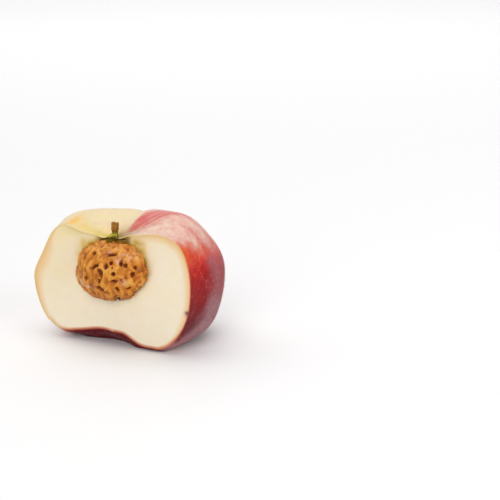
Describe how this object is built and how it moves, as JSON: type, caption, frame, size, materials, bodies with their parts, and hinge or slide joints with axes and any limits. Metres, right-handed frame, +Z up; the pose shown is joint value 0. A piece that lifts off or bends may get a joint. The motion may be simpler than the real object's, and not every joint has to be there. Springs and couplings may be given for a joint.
{
  "type": "white flat nectarine half",
  "caption": "Half of a flat, white-fleshed nectarine, its pitted stone and short stalk still in place, standing on its base with the cut face to the front.",
  "frame": {"origin": "centre of the bottom of the half's bounding box, on the surface that it stands on", "axes": "+Z up along the stem axis, -Y out of the cut face, +X to the right along the cut face"},
  "size_m": [0.0676, 0.0532, 0.0472],
  "materials": {
    "skin": "downy, red blushed over cream",
    "flesh": "moist cut flesh, cream white with a gold margin",
    "stone": "rough pitted woody shell",
    "stalk": "dry bark, green at the foot",
    "down": "short pale hairs"
  },
  "bodies": {
    "root": {"fruit": "skin", "stone": "stone", "stem": "stalk"}
  },
  "joints": []
}
